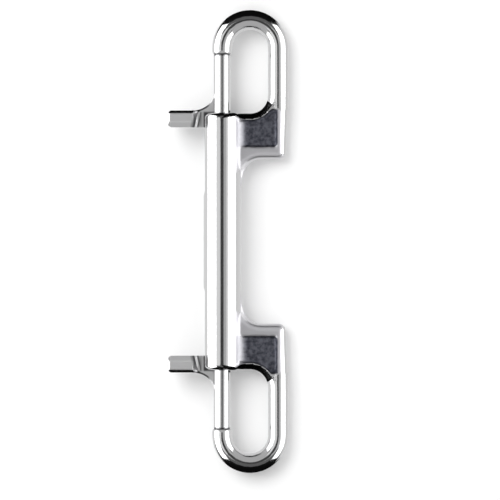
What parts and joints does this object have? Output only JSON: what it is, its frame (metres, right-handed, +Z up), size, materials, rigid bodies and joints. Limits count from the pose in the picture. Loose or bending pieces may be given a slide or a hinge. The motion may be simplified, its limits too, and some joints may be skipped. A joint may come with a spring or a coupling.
{
  "type": "double ended bolt snap",
  "caption": "Steel snap with a hook at each end of a straight barrel, each closed by a sprung sliding bolt with a side thumb lever.",
  "frame": {"origin": "on the surface that the snap lies on, under the centre of its outline seen from above", "axes": "+Y along the barrel towards the upper hook, +X from the thumb levers towards the hooks' outer limbs, +Z up from the surface"},
  "size_m": [0.0298, 0.115, 0.0092],
  "materials": {
    "cast_steel": "polished",
    "bolt_steel": "polished",
    "spring_wire": "satin"
  },
  "bodies": {
    "body": {"body": "cast_steel", "upper_spring": "spring_wire", "lower_spring": "spring_wire"},
    "upper_bolt": {"upper_bolt": "bolt_steel"},
    "lower_bolt": {"lower_bolt": "bolt_steel"}
  },
  "joints": [
    {"name": "upper_bolt_slide", "type": "slide", "parent": "body", "child": "upper_bolt", "axis": [0, -1, 0], "range_m": [0, 0.015], "stiffness_N_per_m": 450, "springref_m": -0.006, "deforming": ["upper_spring"]},
    {"name": "lower_bolt_slide", "type": "slide", "parent": "body", "child": "lower_bolt", "axis": [0, 1, 0], "range_m": [0, 0.015], "stiffness_N_per_m": 450, "springref_m": -0.006, "deforming": ["lower_spring"]}
  ]
}
